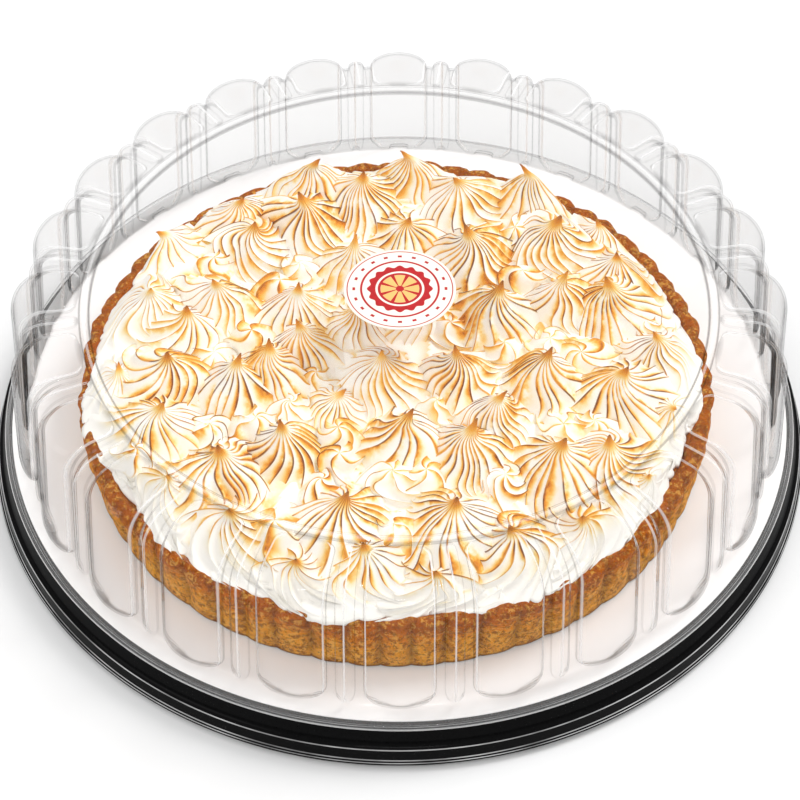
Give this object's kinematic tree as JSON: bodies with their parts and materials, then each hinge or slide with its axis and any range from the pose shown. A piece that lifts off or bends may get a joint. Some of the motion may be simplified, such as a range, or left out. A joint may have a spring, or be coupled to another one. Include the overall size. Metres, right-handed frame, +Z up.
{
  "type": "lemon meringue pie in a domed container",
  "caption": "Lemon meringue pie with a fluted crust and toasted piped meringue, on a white board in a round black tray under a clear ribbed dome.",
  "frame": {"origin": "on the table, under the middle of the tray", "axes": "+Z up through the middle of the tray, -Y towards the side shown at the front"},
  "size_m": [0.305, 0.305, 0.0726],
  "materials": {
    "tray": "glossy black thermoformed plastic",
    "board": "smooth white coated card",
    "crust": "matte golden-brown baked shortcrust, darker at the rim",
    "meringue": "satin white meringue, ridges toasted amber to dark brown",
    "dome": "clear glossy thermoformed plastic sheet",
    "label": "satin cream paper sticker with a dark red printed pattern"
  },
  "bodies": {
    "root": {"base_tray": "tray", "cake_board": "board", "pie_crust": "crust", "meringue": "meringue", "dome_lid": "dome", "label": "label"}
  },
  "joints": []
}
